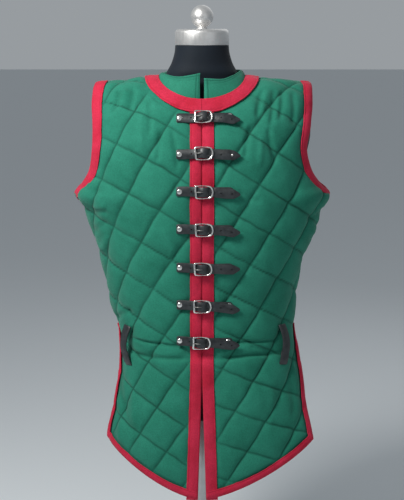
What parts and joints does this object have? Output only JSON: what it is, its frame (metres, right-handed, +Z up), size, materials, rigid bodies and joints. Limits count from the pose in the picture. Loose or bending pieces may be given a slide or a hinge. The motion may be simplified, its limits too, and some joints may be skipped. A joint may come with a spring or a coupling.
{
  "type": "gambeson on limbless dress form",
  "caption": "Sleeveless quilted green gambeson with red bindings, buckled down the front with black straps, on a black limbless dress form with a ball finial.",
  "frame": {"origin": "middle of the underside of the stand's base", "axes": "+Z up, -Y is the garment's front, +X is the right side seen from the front"},
  "size_m": [0.474, 0.33, 1.087],
  "materials": {
    "quilted_cotton": "matte woven cotton, diamond quilted",
    "collar_cotton": "matte woven cotton, topstitched",
    "red_binding": "matte woven cotton tape",
    "black_leather": "waxed, lightly worn",
    "nickel": "polished nickel plate",
    "cap_metal": "satin metal",
    "form_cover": "smooth black cover",
    "stand_metal": "satin"
  },
  "bodies": {
    "root": {"armhole_band_left": "red_binding", "armhole_band_right": "red_binding", "back_panel": "quilted_cotton", "base": "stand_metal", "belt_loop_left": "black_leather", "belt_loop_right": "black_leather", "billet_1": "black_leather", "billet_2": "black_leather", "billet_3": "black_leather", "billet_4": "black_leather", "billet_5": "black_leather", "billet_6": "black_leather", "billet_7": "black_leather", "buckle_1": "nickel", "buckle_2": "nickel", "buckle_3": "nickel", "buckle_4": "nickel", "buckle_5": "nickel", "buckle_6": "nickel", "buckle_7": "nickel", "chape_1": "black_leather", "chape_2": "black_leather", "chape_3": "black_leather", "chape_4": "black_leather", "chape_5": "black_leather", "chape_6": "black_leather", "chape_7": "black_leather", "chape_rivet_1": "nickel", "chape_rivet_2": "nickel", "chape_rivet_6": "nickel", "chape_rivet_7": "nickel", "collar": "collar_cotton", "edge_band_left": "red_binding", "edge_band_right": "red_binding", "finial": "nickel", "form_body": "form_cover", "front_left": "quilted_cotton", "front_right": "quilted_cotton", "neck_band": "red_binding", "neck_cap": "cap_metal", "pole": "stand_metal", "prong_1": "nickel", "prong_2": "nickel", "prong_3": "nickel", "prong_4": "nickel", "prong_5": "nickel", "prong_6": "nickel", "prong_7": "nickel", "rivet_1": "nickel", "rivet_2": "nickel", "rivet_3": "nickel", "rivet_4": "nickel", "rivet_5": "nickel", "rivet_6": "nickel", "rivet_7": "nickel", "skirt_band_back": "red_binding", "skirt_band_left": "red_binding", "skirt_band_right": "red_binding"}
  },
  "joints": []
}
